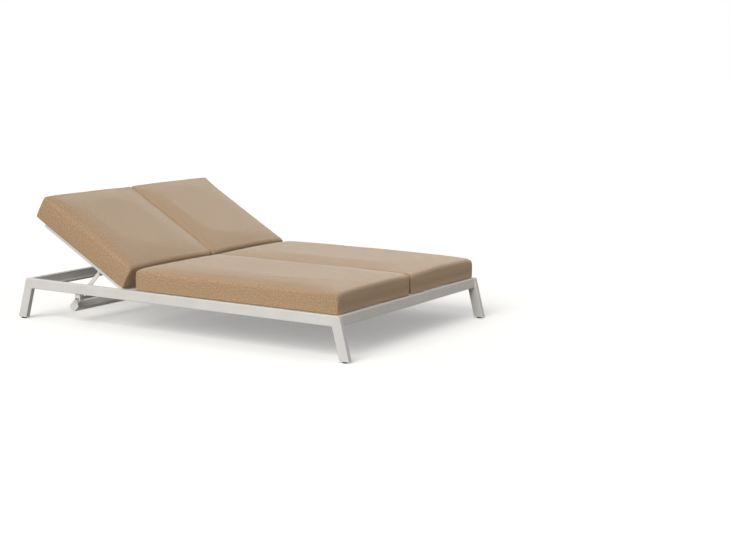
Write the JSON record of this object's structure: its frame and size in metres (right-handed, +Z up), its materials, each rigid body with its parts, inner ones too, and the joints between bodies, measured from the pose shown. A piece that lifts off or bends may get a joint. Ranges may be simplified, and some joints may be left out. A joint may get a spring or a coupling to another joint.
{
  "type": "double chaise lounger",
  "caption": "Low double sun lounger: one metal frame on splayed legs, two seat cushions and two reclining cushioned backs, each propped on a notched stay.",
  "frame": {"origin": "on the floor, in the middle between the four feet", "axes": "+Z up, +Y along the beds from the foot end to the head end, +X across to the right bed"},
  "size_m": [1.5, 2.169, 0.6919],
  "materials": {
    "frame_paint": "satin",
    "woven_fabric": "matte",
    "black_rubber": "matte",
    "light_plastic": "satin",
    "bare_steel": "satin"
  },
  "bodies": {
    "frame": {"head_rail": "frame_paint", "foot_rail": "frame_paint", "centre_beam": "frame_paint", "stop_bar": "frame_paint", "bar_hangers": "frame_paint", "left_side_rail": "frame_paint", "left_head_leg": "frame_paint", "left_foot_leg": "frame_paint", "left_head_glide": "black_rubber", "left_foot_glide": "black_rubber", "left_head_ledge": "frame_paint", "left_rest_blocks": "black_rubber", "left_seat_slats": "frame_paint", "left_cross_rail": "frame_paint", "left_hinge_bushes": "light_plastic", "left_seat_cushion": "woven_fabric", "right_side_rail": "frame_paint", "right_head_leg": "frame_paint", "right_foot_leg": "frame_paint", "right_head_glide": "black_rubber", "right_foot_glide": "black_rubber", "right_head_ledge": "frame_paint", "right_rest_blocks": "black_rubber", "right_seat_slats": "frame_paint", "right_cross_rail": "frame_paint", "right_hinge_bushes": "light_plastic", "right_seat_cushion": "woven_fabric"},
    "left_hinge": {"left_hinge_pins": "bare_steel"},
    "left_back": {"left_back_side_tubes": "frame_paint", "left_back_head_tube": "frame_paint", "left_back_hinge_tube": "frame_paint", "left_back_slats": "frame_paint", "left_back_caps": "light_plastic", "left_stay_lugs": "frame_paint", "left_stay_pins": "bare_steel", "left_back_cushion": "woven_fabric"},
    "left_stay": {"left_stay_plates": "frame_paint", "left_stay_tube": "frame_paint"},
    "right_hinge": {"right_hinge_pins": "bare_steel"},
    "right_back": {"right_back_side_tubes": "frame_paint", "right_back_head_tube": "frame_paint", "right_back_hinge_tube": "frame_paint", "right_back_slats": "frame_paint", "right_back_caps": "light_plastic", "right_stay_lugs": "frame_paint", "right_stay_pins": "bare_steel", "right_back_cushion": "woven_fabric"},
    "right_stay": {"right_stay_plates": "frame_paint", "right_stay_tube": "frame_paint"}
  },
  "joints": [
    {"name": "left_fold", "type": "hinge", "parent": "frame", "child": "left_hinge", "pos_m": [-0.3675, 0.355, 0.22], "axis": [1, 0, 0], "range_deg": [-29.5, 0]},
    {"name": "left_raise", "type": "hinge", "parent": "left_hinge", "child": "left_back", "pos_m": [-0.3675, 0.355, 0.22], "axis": [1, 0, 0], "range_deg": [0, 13.2]},
    {"name": "left_stay_swing", "type": "hinge", "parent": "left_back", "child": "left_stay", "pos_m": [-0.3675, 0.5471, 0.29881], "axis": [1, 0, 0], "range_deg": [0, 75.6]},
    {"name": "right_fold", "type": "hinge", "parent": "frame", "child": "right_hinge", "pos_m": [0.3675, 0.355, 0.22], "axis": [1, 0, 0], "range_deg": [-29.5, 0]},
    {"name": "right_raise", "type": "hinge", "parent": "right_hinge", "child": "right_back", "pos_m": [0.3675, 0.355, 0.22], "axis": [1, 0, 0], "range_deg": [0, 13.2]},
    {"name": "right_stay_swing", "type": "hinge", "parent": "right_back", "child": "right_stay", "pos_m": [0.3675, 0.5471, 0.29881], "axis": [1, 0, 0], "range_deg": [0, 75.6]}
  ],
  "couplings": [
    {"joint": "left_stay_swing", "follows": "left_fold", "ratio": -2.56},
    {"joint": "right_stay_swing", "follows": "right_fold", "ratio": -2.56}
  ]
}
